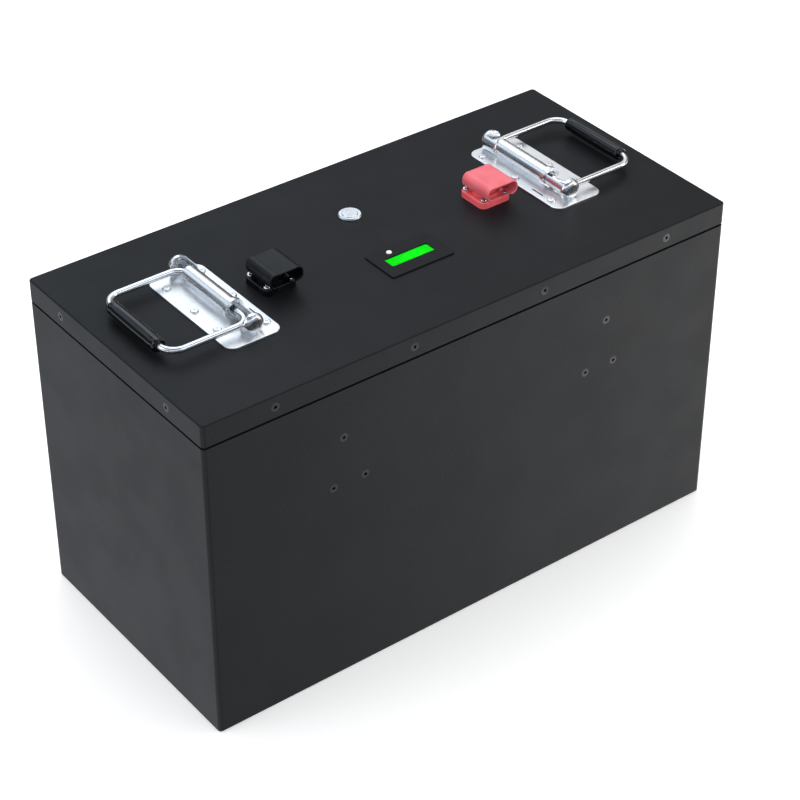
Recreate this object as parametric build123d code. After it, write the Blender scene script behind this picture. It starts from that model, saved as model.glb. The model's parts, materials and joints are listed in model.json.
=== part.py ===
from build123d import *
import math
import os

# Battery pack: a sheet-steel box with a lid, two sprung bail handles, two hooded terminals, a meter and
# a push switch, around eight prismatic cells in series.
# Millimetres. Origin at the centre of the underside, X along the length, front face at -Y, Z up.

# ---------------------------------------------------------------- case
CASE_LENGTH = 480.0
CASE_DEPTH = 230.0
CASE_HEIGHT = 280.0
SHEET = 2.0
CORNER_RADIUS = 3.0
LID_FLANGE = 18.0
LID_GAP = 2.0
LID_EDGE_RADIUS = 1.2
RIM_CLEARANCE = 0.3
RIM_FLANGE_WIDTH = 8.0
GASKET_THICKNESS = 2.0

LID_TOP = CASE_HEIGHT
LID_UNDERSIDE = LID_TOP - SHEET
TUB_SHOULDER = LID_TOP - LID_FLANGE - LID_GAP
RIM_TOP = LID_UNDERSIDE - GASKET_THICKNESS
RIM_LENGTH = CASE_LENGTH - 2 * SHEET - 2 * RIM_CLEARANCE
RIM_DEPTH = CASE_DEPTH - 2 * SHEET - 2 * RIM_CLEARANCE
INNER_LENGTH = CASE_LENGTH - 2 * SHEET
INNER_DEPTH = CASE_DEPTH - 2 * SHEET

# ---------------------------------------------------------------- case screws
SCREW_HEAD_RADIUS = 3.5
SCREW_SHANK_RADIUS = 1.95
SCREW_LENGTH = 9.0
SCREW_SOCKET_AF = 2.5
SCREW_SINK = 0.05
SCREW_CLEARANCE = 0.1
WELD_NUT_AF = 7.0
WELD_NUT_THICKNESS = 3.2
LID_SCREW_Z = LID_TOP - 9.5
LID_SCREW_X = (-180.0, -60.0, 60.0, 180.0)
LID_SCREW_Y = (-70.0, 70.0)
WALL_TOP_SCREW = (123.0, 219.0)
WALL_LOWER_SCREWS = ((104.5, 178.0), (132.7, 178.0))

# ---------------------------------------------------------------- cells and their clamping
CELL_COUNT = 8
CELL_THICKNESS = 54.0
CELL_WIDTH = 174.0
CELL_HEIGHT = 204.0
CELL_GAP = 1.0
CELL_PITCH = CELL_THICKNESS + CELL_GAP
BASE_BOARD_THICKNESS = 5.0
CELL_BOTTOM = SHEET + BASE_BOARD_THICKNESS
CELL_TOP = CELL_BOTTOM + CELL_HEIGHT
CELL_TERMINAL_Y = 61.0
CELL_BOSS_HEIGHT = 3.0
CELL_BOSS_TOP = CELL_TOP + CELL_BOSS_HEIGHT
CELL_STUD_RADIUS = 2.9
CELL_STUD_TOP = CELL_BOSS_TOP + 8.5
STACK_HALF_LENGTH = (CELL_COUNT * CELL_THICKNESS + (CELL_COUNT - 1) * CELL_GAP) / 2
END_PLATE_THICKNESS = 8.0
BUSBAR_THICKNESS = 2.5
BUSBAR_TOP = CELL_BOSS_TOP + BUSBAR_THICKNESS
HOLD_DOWN_THICKNESS = 3.0
HOLD_DOWN_Z = 226.0
HOLD_DOWN_TOP = HOLD_DOWN_Z + HOLD_DOWN_THICKNESS
HOLD_DOWN_X = (94.0, 142.0)
HOLD_DOWN_FOOT_Z = 166.0

# ---------------------------------------------------------------- battery management unit
TRAY_HALF_LENGTH = 128.0
TRAY_THICKNESS = 2.0
TRAY_TOP = HOLD_DOWN_TOP + TRAY_THICKNESS
BMS_HALF_LENGTH = 85.0
BMS_Y = (-50.0, 30.0)
BMS_CASE_HEIGHT = 12.0
BMS_CASE_TOP = TRAY_TOP + BMS_CASE_HEIGHT
HEATSINK_BASE = 2.5
HEATSINK_HEIGHT = 7.0
BMS_CABLE_Z = TRAY_TOP + 6.0

# ---------------------------------------------------------------- terminals
TERMINAL_X = {"negative": -102.0, "positive": 98.5}
TERMINAL_Y = 2.6
BASE_SIDE = 29.0
BASE_CORNER_RADIUS = 5.0
BASE_PLATE_HEIGHT = 5.5
BASE_NECK_RADIUS = 8.8
BASE_FLANGE_RADIUS = 9.9
BASE_SHOULDER_RADIUS = 10.6
BASE_SHOULDER_TOP = 7.8
BASE_FLANGE_Z = 9.8
BASE_TOP = 12.0
BASE_SPIGOT_RADIUS = 8.8
TERMINAL_SCREW_PITCH = 21.5
POST_RADIUS = 6.0
POST_TOP = BASE_TOP + 0.3
POST_HOLE_RADIUS = 3.4
POST_HOLE_DEPTH = 12.0
POST_FLANGE_RADIUS = 9.0
POST_SHOULDER_Z = 266.0
POST_STUD_RADIUS = 3.95
POST_STUD_END_Z = 250.0
SEAT_THICKNESS = 4.0
SEAT_BOTTOM = LID_UNDERSIDE - SEAT_THICKNESS
POST_FLANGE_BOTTOM = SEAT_BOTTOM - 4.0

HOOD_WIDTH = 29.0
HOOD_BOTTOM = 8.0
HOOD_TOP = 20.2
HOOD_WALL = 1.4
HOOD_FRONT = -19.6
HOOD_BACK = 12.7
HOOD_SHIFT = 1.0
HOOD_UPPER_RADIUS = 5.7
HOOD_LOWER_RADIUS = 4.6
HOOD_SLOT_RADIUS = 9.2

# ---------------------------------------------------------------- meter and switch
METER_X = 0.7
METER_Y = -29.3
METER_SIZE = (57.5, 35.5)
METER_BEZEL_HEIGHT = 1.3
METER_BODY = (54.0, 31.0)
METER_BODY_BOTTOM = LID_TOP - 14.0
METER_WALL = 1.5
LCD_WINDOW = (39.5, 11.5)
LCD_BODY = (44.0, 16.0)
METER_BOARD_Z = LID_TOP - 8.0
METER_BOARD_THICKNESS = 1.6
METER_PLUG_Z = METER_BOARD_Z - 9.5
METER_BUTTON_AT = (-10.6, 11.4)
METER_BUTTON_RADIUS = 2.15
METER_BUTTON_TOP = LID_TOP + 2.1

SWITCH_X = -0.5
SWITCH_Y = 44.0
SWITCH_HEAD_RADIUS = 9.25
SWITCH_HEAD_HEIGHT = 1.7
SWITCH_THREAD_RADIUS = 7.9
SWITCH_CAP_RADIUS = 6.2
SWITCH_CAP_TOP = LID_TOP + 2.3
SWITCH_BORE_FLOOR = LID_TOP - 8.0
SWITCH_BODY_BOTTOM = LID_TOP - 22.0

# ---------------------------------------------------------------- handles, in their own frame:
# x outwards over the case end, y as the case, z up from the lid
HANDLE_X = {"left": 152.6, "right": 151.1}
HANDLE_Y = {"left": 1.5, "right": 6.8}
PLATE_SIZE = (46.5, 110.0)
PLATE_THICKNESS = 1.6
PLATE_CORNER_RADIUS = 8.0
HINGE_X = -3.2
HINGE_Z = 8.4
WIRE_RADIUS = 2.5
BAIL_LEG_Y = (-41.6, 46.0)
BAIL_REACH = 64.0
BAIL_CORNER_RADIUS = 12.5
BAIL_HINGE_BEND = 11.0
BACK_PIN_END = -0.5
FRONT_PIN_END = -3.5
GRIP_RADIUS = 5.8
GRIP_HALF_LENGTH = 31.0
BARREL_RADIUS = 6.8
BARREL_Y = (-19.0, 36.5)
BARREL_BORE = WIRE_RADIUS + 0.05
COLLAR_RADIUS = 8.2
COLLAR_LENGTH = 3.5
MOUTH_RADIUS = 5.4
MOUTH_DEPTH = 7.0
SPRING_CAVITY_RADIUS = 4.6
SPRING_CAVITY_Y = (0.0, 24.0)
SPRING_MEAN_RADIUS = 3.4
SPRING_WIRE_RADIUS = 0.6
SPRING_PITCH = 2.4
SPRING_TURNS = 9
WEB_HALF_WIDTH = 5.0
GUARD_RADIUS = 8.6
FRONT_SHELL_RADIUS = 6.2
GUARD_WALL = 1.0
GUARD_GAP = 0.4
GUARD_BACK_END = 54.5
GUARD_FRONT_END = -49.4
GUARD_DOME = 4.2
GUARD_SECTOR = (132.0, 250.0)
RIVET_HEAD_RADIUS = 3.3
RIVET_HEAD_HEIGHT = 1.6
RIVET_SHANK_RADIUS = 2.0
RIVET_PLACES = ((15.5, 38.0), (15.5, 1.5), (15.5, -28.0), (-17.5, 42.5), (-17.5, 2.0), (-17.5, -41.0))
PLATE_SLOT = (-18.0, -25.0, 1.2, 13.0)

# ---------------------------------------------------------------- cables
CABLE_RADIUS = 4.0
CONTROL_LEAD_RADIUS = 1.0
LUG_THICKNESS = 2.4
LUG_HALF_WIDTH = 7.5
LUG_NECK = 12.0
LUG_END = 26.0
LUG_BARREL_RADIUS = 5.4
LUG_BORE_RADIUS = CABLE_RADIUS + 0.05
CABLE_INSERTION = 10.0


# ================================================================ helpers
def block(x, y, z):
    """A box from its (low, high) pairs."""
    size = (x[1] - x[0], y[1] - y[0], z[1] - z[0])
    return Pos((x[0] + x[1]) / 2, (y[0] + y[1]) / 2, (z[0] + z[1]) / 2) * Box(*size)


def slab(size, radius, z, at=(0, 0)):
    """An upright plate with rounded corners, from z[0] to z[1]."""
    outline = Plane.XY.offset(z[0]) * Pos(at[0], at[1]) * RectangleRounded(size[0], size[1], radius)
    return extrude(outline, z[1] - z[0])


def post(radius, z, at=(0, 0)):
    """An upright round bar from z[0] to z[1]."""
    return Pos(at[0], at[1], (z[0] + z[1]) / 2) * Cylinder(radius, z[1] - z[0])


def hinge_rod(radius, y):
    """A round bar on the handle's hinge axis from y[0] to y[1]."""
    turned = Rot(90, 0, 0) * Cylinder(radius, y[1] - y[0])
    return Pos(HINGE_X, (y[0] + y[1]) / 2, HINGE_Z) * turned


def hex_bar(across_flats, z, at=(0, 0)):
    """An upright hexagonal bar from z[0] to z[1]."""
    outline = RegularPolygon(across_flats / 2 / math.cos(math.pi / 6), 6)
    return extrude(Plane.XY.offset(z[0]) * Pos(at[0], at[1]) * outline, z[1] - z[0])


def hex_nut(across_flats, z, hole_radius, at=(0, 0)):
    return hex_bar(across_flats, z, at) - post(hole_radius, z, at)


def top_edges(shape):
    return shape.edges().group_by(Axis.Z)[-1]


def save(node, *solids):
    """Write one node, whose solids may be one piece or a set of equal pieces."""
    shape = solids[0] if len(solids) == 1 else Compound(children=list(solids))
    export_step(shape, f"parts/{node}.step")


# ================================================================ case
def wall_faces():
    """A plane on each wall, its normal pointing out, with the screws' places along it and up it."""
    wall_screws = [WALL_TOP_SCREW, *WALL_LOWER_SCREWS]
    long_wall = [(x, LID_SCREW_Z) for x in LID_SCREW_X]
    long_wall += [(side * x, z) for side in (-1, 1) for x, z in wall_screws]
    short_wall = [(y, LID_SCREW_Z) for y in LID_SCREW_Y]
    return (
        (Plane((0, -CASE_DEPTH / 2, 0), x_dir=(1, 0, 0), z_dir=(0, -1, 0)), long_wall),
        (Plane((0, CASE_DEPTH / 2, 0), x_dir=(-1, 0, 0), z_dir=(0, 1, 0)), long_wall),
        (Plane((-CASE_LENGTH / 2, 0, 0), x_dir=(0, -1, 0), z_dir=(-1, 0, 0)), short_wall),
        (Plane((CASE_LENGTH / 2, 0, 0), x_dir=(0, 1, 0), z_dir=(1, 0, 0)), short_wall),
    )


def at_screws(piece):
    """A copy of a piece at every case screw; the piece's +Z points out of the wall."""
    return [plane * Pos(along, up) * piece for plane, places in wall_faces() for along, up in places]


def countersunk_cutter():
    """The space that a case screw needs in the walls that it passes."""
    head = SCREW_HEAD_RADIUS + SCREW_CLEARANCE
    shank = SCREW_SHANK_RADIUS + SCREW_CLEARANCE
    depth = head - shank
    cone = Pos(0, 0, -depth / 2) * Cone(shank, head, depth)
    return cone + Pos(0, 0, -SCREW_LENGTH / 2) * Cylinder(shank, SCREW_LENGTH)


def case_screw():
    depth = SCREW_HEAD_RADIUS - SCREW_SHANK_RADIUS
    head = Pos(0, 0, -SCREW_SINK - depth / 2) * Cone(SCREW_SHANK_RADIUS, SCREW_HEAD_RADIUS, depth)
    shank = Pos(0, 0, -SCREW_SINK - SCREW_LENGTH / 2) * Cylinder(SCREW_SHANK_RADIUS, SCREW_LENGTH)
    socket = hex_bar(SCREW_SOCKET_AF, (-1.3, 1.0))
    return head + shank - socket


def case_tub():
    body = slab((CASE_LENGTH, CASE_DEPTH), CORNER_RADIUS, (0, TUB_SHOULDER))
    body = fillet(body.edges().group_by(Axis.Z)[0], LID_EDGE_RADIUS)
    rim = slab((RIM_LENGTH, RIM_DEPTH), CORNER_RADIUS - SHEET, (TUB_SHOULDER - SHEET, RIM_TOP))
    lower_space = slab((INNER_LENGTH, INNER_DEPTH), CORNER_RADIUS - SHEET, (SHEET, TUB_SHOULDER - SHEET))
    rim_inner = (RIM_LENGTH - 2 * SHEET, RIM_DEPTH - 2 * SHEET)
    rim_space = slab(rim_inner, CORNER_RADIUS, (TUB_SHOULDER - SHEET, RIM_TOP - SHEET))
    mouth = (rim_inner[0] - 2 * RIM_FLANGE_WIDTH, rim_inner[1] - 2 * RIM_FLANGE_WIDTH)
    opening = slab(mouth, CORNER_RADIUS, (RIM_TOP - SHEET, RIM_TOP))
    return body + rim - lower_space - rim_space - opening - at_screws(countersunk_cutter())


def lid_holes():
    """Everything that passes the lid's top: posts, screws, rivets, the meter and the switch."""
    z = (LID_UNDERSIDE - 1, LID_TOP + 1)
    holes = [slab((METER_BODY[0] + 0.4, METER_BODY[1] + 0.4), 1.0, z, (METER_X, METER_Y))]
    holes.append(post(SWITCH_THREAD_RADIUS + 0.1, z, (SWITCH_X, SWITCH_Y)))
    for x in TERMINAL_X.values():
        holes.append(post(BASE_SPIGOT_RADIUS + 0.1, z, (x, TERMINAL_Y)))
        holes += [post(1.6, z, place) for place in terminal_screw_places(x)]
    for side in HANDLE_Y:
        holes += [post(RIVET_SHANK_RADIUS + 0.1, z, place) for place in rivet_places(side)]
    return holes


def lid():
    shell = slab((CASE_LENGTH, CASE_DEPTH), CORNER_RADIUS, (LID_TOP - LID_FLANGE, LID_TOP))
    shell = fillet(top_edges(shell), LID_EDGE_RADIUS)
    space = slab((INNER_LENGTH, INNER_DEPTH), CORNER_RADIUS - SHEET, (LID_TOP - LID_FLANGE, LID_UNDERSIDE))
    return shell - space - at_screws(countersunk_cutter()) - lid_holes()


def lid_gasket():
    outer = (RIM_LENGTH - 2.0, RIM_DEPTH - 2.0)
    inner = (outer[0] - 2 * RIM_FLANGE_WIDTH, outer[1] - 2 * RIM_FLANGE_WIDTH)
    z = (RIM_TOP, LID_UNDERSIDE)
    return slab(outer, CORNER_RADIUS, z) - slab(inner, CORNER_RADIUS, z)


def weld_nuts():
    """Nuts behind the rim for the lid screws, and behind the hold-down flanges for the wall screws."""
    rim_depth = 2 * SHEET + RIM_CLEARANCE
    flange_depth = SHEET + HOLD_DOWN_THICKNESS
    nuts = []
    for plane, places in wall_faces():
        for along, up in places:
            depth = rim_depth if up == LID_SCREW_Z else flange_depth
            nut = hex_nut(WELD_NUT_AF, (-depth - WELD_NUT_THICKNESS, -depth), SCREW_SHANK_RADIUS + 0.05)
            nuts.append(plane * Pos(along, up) * nut)
    return nuts


# ================================================================ cells
def cell_x(index):
    return (index - (CELL_COUNT - 1) / 2) * CELL_PITCH


def cell(index):
    """A prismatic cell: can, vent recess, two terminal bosses with studs."""
    x = cell_x(index)
    can = slab((CELL_THICKNESS, CELL_WIDTH), 3.0, (CELL_BOTTOM, CELL_TOP), (x, 0))
    vent = Plane.XY.offset(CELL_TOP - 0.6) * Pos(x, 0) * Rot(0, 0, 90) * SlotOverall(26, 14)
    can -= extrude(vent, 1.0)
    for y in (-CELL_TERMINAL_Y, CELL_TERMINAL_Y):
        can += post(9.0, (CELL_TOP, CELL_BOSS_TOP), (x, y))
        can += post(CELL_STUD_RADIUS, (CELL_BOSS_TOP, CELL_STUD_TOP), (x, y))
    return can


def cell_separators():
    gaps = [(cell_x(index) + cell_x(index + 1)) / 2 for index in range(CELL_COUNT - 1)]
    z = (CELL_BOTTOM, CELL_TOP - 4)
    return [slab((CELL_GAP, CELL_WIDTH), CELL_GAP * 0.45, z, (x, 0)) for x in gaps]


def end_plates():
    plates = []
    for side in (-1, 1):
        x = side * (STACK_HALF_LENGTH + END_PLATE_THICKNESS / 2)
        plate = slab((END_PLATE_THICKNESS, CELL_WIDTH), 2.0, (CELL_BOTTOM, CELL_TOP - 10), (x, 0))
        for y in (-60, 0, 60):
            plate -= block((x + side * 2 - 2, x + side * 2 + 2), (y - 20, y + 20), (40, 160))
        plates.append(plate)
    return plates


def foam_pads():
    """Foam between the stack and the four walls, and two blocks under the hold-down bars."""
    pads = []
    for side in (-1, 1):
        wall_y = sorted((side * CELL_WIDTH / 2, side * INNER_DEPTH / 2))
        pads.append(block((-200, 200), wall_y, (20, 150)))
        wall_x = sorted((side * (STACK_HALF_LENGTH + END_PLATE_THICKNESS), side * INNER_LENGTH / 2))
        pads.append(block(wall_x, (-80, 80), (20, 170)))
        bar_x = sorted(side * x for x in HOLD_DOWN_X)
        pads.append(block((bar_x[0] + 3, bar_x[1] - 3), (-40, 40), (CELL_TOP, HOLD_DOWN_Z)))
    return pads


def base_board():
    return slab((INNER_LENGTH - 4, INNER_DEPTH - 4), 3.0, (SHEET, CELL_BOTTOM))


def busbar_side(index):
    """The side, front or back, of the link between one cell and the next."""
    return 1 if index % 2 == 0 else -1


def busbars():
    links = []
    for index in range(CELL_COUNT - 1):
        y = busbar_side(index) * CELL_TERMINAL_Y
        x = (cell_x(index) + cell_x(index + 1)) / 2
        link = slab((CELL_PITCH + 20, 20), 6.0, (CELL_BOSS_TOP, BUSBAR_TOP), (x, y))
        for end in (cell_x(index), cell_x(index + 1)):
            link -= post(CELL_STUD_RADIUS + 0.2, (CELL_BOSS_TOP, BUSBAR_TOP), (end, y))
        links.append(link)
    return links


def busbar_nuts():
    z = (BUSBAR_TOP, BUSBAR_TOP + 5.0)
    places = [(cell_x(index), y) for index in range(CELL_COUNT) for y in (-CELL_TERMINAL_Y, CELL_TERMINAL_Y)]
    return [hex_nut(10.0, z, CELL_STUD_RADIUS + 0.05, place) for place in places]


def sense_strips():
    """Flat voltage-sensing strips, with a tab on each busbar."""
    strips = []
    z = (BUSBAR_TOP, BUSBAR_TOP + 0.8)
    for side in (-1, 1):
        y = side * (CELL_TERMINAL_Y - 13.5)
        links = [index for index in range(CELL_COUNT - 1) if busbar_side(index) == side]
        tabs = [(cell_x(index) + cell_x(index + 1)) / 2 for index in links]
        strip = slab((tabs[-1] - tabs[0] + 9.0, 5.0), 1.5, z, (0, y))
        for x in tabs:
            strip += slab((9.0, 10.0), 1.5, z, (x, y + side * 5.0))
        strips.append(strip)
    return strips


def hold_down_bars():
    """A bar across the cells at each end, its feet screwed to the front and back walls."""
    bars = []
    for side in (-1, 1):
        x = sorted(side * edge for edge in HOLD_DOWN_X)
        bar = block(x, (-INNER_DEPTH / 2, INNER_DEPTH / 2), (HOLD_DOWN_Z, HOLD_DOWN_TOP))
        for wall in (-1, 1):
            y = sorted((wall * INNER_DEPTH / 2, wall * (INNER_DEPTH / 2 - HOLD_DOWN_THICKNESS)))
            bar += block(x, y, (HOLD_DOWN_FOOT_Z, HOLD_DOWN_TOP))
        bars.append(bar - at_screws(countersunk_cutter()))
    return bars


# ================================================================ battery management unit
def bms_tray():
    tray = slab((2 * TRAY_HALF_LENGTH, 100), 4.0, (HOLD_DOWN_TOP, TRAY_TOP))
    for x in (-TRAY_HALF_LENGTH + 10, TRAY_HALF_LENGTH - 10):
        for y in (-40, 40):
            tray -= post(2.2, (HOLD_DOWN_TOP, TRAY_TOP), (x, y))
    return tray


def bms_case():
    """The potted unit with its cable glands on the left and its plug block on the right."""
    middle = (BMS_Y[0] + BMS_Y[1]) / 2
    case = slab((2 * BMS_HALF_LENGTH, BMS_Y[1] - BMS_Y[0]), 3.0, (TRAY_TOP, BMS_CASE_TOP), (0, middle))
    case += block((BMS_HALF_LENGTH, BMS_HALF_LENGTH + 12), (middle - 20, middle + 20), (TRAY_TOP, BMS_CASE_TOP - 3))
    for route in (CELL_NEGATIVE_ROUTE, OUTPUT_NEGATIVE_ROUTE):
        x, y, z = route[0]
        bore = Pos(x - 10, y, z) * Rot(0, 90, 0) * Cylinder(CABLE_RADIUS + 0.1, 20)
        case -= bore
    return case


def bms_heatsink():
    middle = (BMS_Y[0] + BMS_Y[1]) / 2
    size = (2 * BMS_HALF_LENGTH - 8, BMS_Y[1] - BMS_Y[0] - 8)
    sink = slab(size, 2.0, (BMS_CASE_TOP, BMS_CASE_TOP + HEATSINK_BASE), (0, middle))
    fins = 9
    for index in range(fins):
        y = middle + (index - (fins - 1) / 2) * 8.0
        top = BMS_CASE_TOP + HEATSINK_HEIGHT
        sink += block((-size[0] / 2 + 2, size[0] / 2 - 2), (y - 0.8, y + 0.8), (BMS_CASE_TOP + HEATSINK_BASE, top))
    return sink


# ================================================================ cables
def tube(points, radius):
    """A cable along straight runs joined by arcs, each as large as its two runs allow."""
    vectors = [Vector(*point) for point in points]
    radii = []
    for before, corner, after in zip(vectors, vectors[1:], vectors[2:]):
        turn = math.radians((corner - before).get_angle(after - corner))
        shorter = min((corner - before).length, (after - corner).length)
        radii.append(0.45 * shorter / math.tan(turn / 2))
    path = FilletPolyline(*vectors, radius=radii)
    section = Plane(origin=path @ 0, z_dir=path % 0) * Circle(radius)
    cable = sweep(section, path=path)
    expected = math.pi * radius**2 * path.length
    print(f"cable r {radius}: length {path.length:.1f}, volume ratio {cable.volume / expected:.4f},",
          "bends", [round(value, 1) for value in radii])
    return cable


def lug(at, heading, flipped):
    """A cable lug whose palm lies on a stud at `at`; the barrel stands above it, or below if flipped."""
    up = -1 if flipped else 1
    z = sorted((0, up * LUG_THICKNESS))
    palm = block((-LUG_HALF_WIDTH, LUG_NECK + 2), (-LUG_HALF_WIDTH, LUG_HALF_WIDTH), z)
    palm -= post(4.2, z)
    barrel = Rot(0, 90, 0) * Cylinder(LUG_BARREL_RADIUS, LUG_END - LUG_NECK)
    bore = Rot(0, 90, 0) * Cylinder(LUG_BORE_RADIUS, LUG_END - LUG_NECK)
    middle = Pos((LUG_NECK + LUG_END) / 2, 0, up * LUG_BARREL_RADIUS)
    piece = palm + middle * barrel - middle * Pos(2, 0, 0) * bore
    return Pos(*at) * Rot(0, 0, heading) * piece


def along(at, heading, distance, rise):
    """A point on a lug's barrel axis, `distance` from its stud."""
    angle = math.radians(heading)
    return (at[0] + distance * math.cos(angle), at[1] + distance * math.sin(angle), at[2] + rise)


POSITIVE_STUD = (cell_x(CELL_COUNT - 1), -CELL_TERMINAL_Y, CELL_BOSS_TOP)
NEGATIVE_STUD = (cell_x(0), -CELL_TERMINAL_Y, CELL_BOSS_TOP)
POSITIVE_POST = (TERMINAL_X["positive"], TERMINAL_Y, POST_SHOULDER_Z)
NEGATIVE_POST = (TERMINAL_X["negative"], TERMINAL_Y, POST_SHOULDER_Z)
POSITIVE_HEADING = math.degrees(math.atan2(TERMINAL_Y + CELL_TERMINAL_Y, POSITIVE_POST[0] - POSITIVE_STUD[0]))
NEGATIVE_HEADING = 31.0
OUTPUT_HEADING = 180.0
CABLE_START = LUG_END - CABLE_INSERTION
LUG_RISE = LUG_BARREL_RADIUS

POSITIVE_ROUTE = [
    along(POSITIVE_STUD, POSITIVE_HEADING, CABLE_START, LUG_RISE),
    along(POSITIVE_STUD, POSITIVE_HEADING, CABLE_START + 18, LUG_RISE),
    along(POSITIVE_STUD, POSITIVE_HEADING, CABLE_START + 34, LUG_RISE + 10),
    along(POSITIVE_STUD, POSITIVE_HEADING, CABLE_START + 48, LUG_RISE + 31),
    along(POSITIVE_POST, POSITIVE_HEADING + 180, CABLE_START + 18, -LUG_RISE),
    along(POSITIVE_POST, POSITIVE_HEADING + 180, CABLE_START, -LUG_RISE),
]
CELL_NEGATIVE_ROUTE = [
    (-77.0, -12.0, BMS_CABLE_Z),
    (-104.0, -12.0, BMS_CABLE_Z),
    (-127.0, -17.0, BMS_CABLE_Z + 2),
    (-147.0, -30.0, BMS_CABLE_Z - 3),
    along(NEGATIVE_STUD, NEGATIVE_HEADING, CABLE_START + 16, LUG_RISE),
    along(NEGATIVE_STUD, NEGATIVE_HEADING, CABLE_START, LUG_RISE),
]
OUTPUT_NEGATIVE_ROUTE = [
    (-77.0, -42.0, BMS_CABLE_Z),
    (-104.0, -42.0, BMS_CABLE_Z),
    (-130.0, -44.0, BMS_CABLE_Z + 4),
    (-152.0, -36.0, BMS_CABLE_Z + 10),
    (-163.0, -19.0, BMS_CABLE_Z + 16),
    (-156.0, -3.0, BMS_CABLE_Z + 21.5),
    along(NEGATIVE_POST, OUTPUT_HEADING, CABLE_START + 17, -LUG_RISE),
    along(NEGATIVE_POST, OUTPUT_HEADING, CABLE_START, -LUG_RISE),
]


def cable_lugs():
    return [
        lug(POSITIVE_STUD, POSITIVE_HEADING, False),
        lug(POSITIVE_POST, POSITIVE_HEADING + 180, True),
        lug(NEGATIVE_STUD, NEGATIVE_HEADING, False),
        lug(NEGATIVE_POST, OUTPUT_HEADING, True),
    ]


def control_leads():
    """Two leads from the switch and two from the meter to the management unit."""
    leads = []
    for offset in (-2.5, 2.5):
        x = SWITCH_X + offset
        floor = SWITCH_BODY_BOTTOM - 6
        middle = BMS_CABLE_Z + 1
        route = [(x, SWITCH_Y, floor), (x, SWITCH_Y, middle), (x, BMS_Y[1], middle)]
        leads.append(tube(route, CONTROL_LEAD_RADIUS))
        y = METER_Y + 8 + offset
        plug_top = BMS_CASE_TOP - 3
        start_x = METER_X + METER_BODY[0] / 2 - 8
        z = METER_PLUG_Z + 2
        far_x = BMS_HALF_LENGTH + 6
        bends = [(start_x + 25, y, z), (far_x - 18, y + 2, z - 1), (far_x, y, z - 6)]
        route = [(start_x, y, z), *bends, (far_x, y, plug_top)]
        leads.append(tube(route, CONTROL_LEAD_RADIUS))
    return leads


# ================================================================ terminals
def terminal_screw_places(x):
    half = TERMINAL_SCREW_PITCH / 2
    return [(x + side * half, TERMINAL_Y + end * half) for side in (-1, 1) for end in (-1, 1)]


def terminal_base(x):
    """The insulating foot on the lid: plate, grooved neck that holds the hood, spigot through the lid."""
    at = (x, TERMINAL_Y)
    plate = slab((BASE_SIDE, BASE_SIDE), BASE_CORNER_RADIUS, (LID_TOP, LID_TOP + BASE_PLATE_HEIGHT), at)
    plate = fillet(top_edges(plate), 1.0)
    shoulder = post(BASE_SHOULDER_RADIUS, (LID_TOP + BASE_PLATE_HEIGHT, LID_TOP + BASE_SHOULDER_TOP), at)
    neck = post(BASE_NECK_RADIUS, (LID_TOP + BASE_SHOULDER_TOP, LID_TOP + BASE_FLANGE_Z), at)
    flange = post(BASE_FLANGE_RADIUS, (LID_TOP + BASE_FLANGE_Z, LID_TOP + BASE_TOP), at)
    flange = fillet(top_edges(flange), 0.6)
    spigot = post(BASE_SPIGOT_RADIUS, (LID_UNDERSIDE, LID_TOP), at)
    piece = plate + shoulder + neck + flange + spigot
    piece -= post(POST_RADIUS + 0.02, (LID_UNDERSIDE, LID_TOP + BASE_TOP), at)
    for place in terminal_screw_places(x):
        piece -= post(1.6, (LID_TOP, LID_TOP + BASE_PLATE_HEIGHT), place)
    return piece


def terminal_post(x):
    """The brass post: tapped at the top for the user's bolt, a flange and a stud below the lid."""
    at = (x, TERMINAL_Y)
    piece = post(POST_RADIUS, (POST_SHOULDER_Z, LID_TOP + POST_TOP), at)
    piece = chamfer(top_edges(piece), 0.5)
    piece += post(POST_FLANGE_RADIUS, (POST_FLANGE_BOTTOM, SEAT_BOTTOM), at)
    piece += post(POST_STUD_RADIUS, (POST_STUD_END_Z, POST_SHOULDER_Z), at)
    hole_floor = LID_TOP + POST_TOP - POST_HOLE_DEPTH
    return piece - post(POST_HOLE_RADIUS, (hole_floor, LID_TOP + POST_TOP), at)


def terminal_seats():
    """The insulating plates under the lid that the base's screws pull up against it."""
    seats = []
    for x in TERMINAL_X.values():
        z = (SEAT_BOTTOM, LID_UNDERSIDE)
        seat = slab((BASE_SIDE, BASE_SIDE), BASE_CORNER_RADIUS, z, (x, TERMINAL_Y))
        seat -= post(POST_RADIUS + 0.05, z, (x, TERMINAL_Y))
        for place in terminal_screw_places(x):
            seat -= post(1.6, z, place)
        seats.append(seat)
    return seats


def terminal_screws():
    """Domed cross-recess screws through the base, the lid and the seat."""
    head = Pos(0, 0, 0.9) * Cylinder(2.6, 1.8)
    head = fillet(top_edges(head), 1.2)
    recess = Box(3.0, 0.7, 1.4) + Box(0.7, 3.0, 1.4)
    screw = head + Pos(0, 0, -8.0) * Cylinder(1.45, 16.0) - Pos(0, 0, 1.5) * recess
    z = LID_TOP + BASE_PLATE_HEIGHT
    return [Pos(*place, z) * screw for x in TERMINAL_X.values() for place in terminal_screw_places(x)]


def terminal_nuts():
    """The small nuts under the seats, and the large nut that clamps each cable lug to its post."""
    nuts = []
    for x in TERMINAL_X.values():
        z = (SEAT_BOTTOM - 2.4, SEAT_BOTTOM)
        nuts += [hex_nut(5.5, z, 1.5, place) for place in terminal_screw_places(x)]
        lug_face = POST_SHOULDER_Z - LUG_THICKNESS
        nuts.append(hex_nut(13.0, (lug_face - 6.5, lug_face), POST_STUD_RADIUS + 0.05, (x, TERMINAL_Y)))
    return nuts


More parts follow.
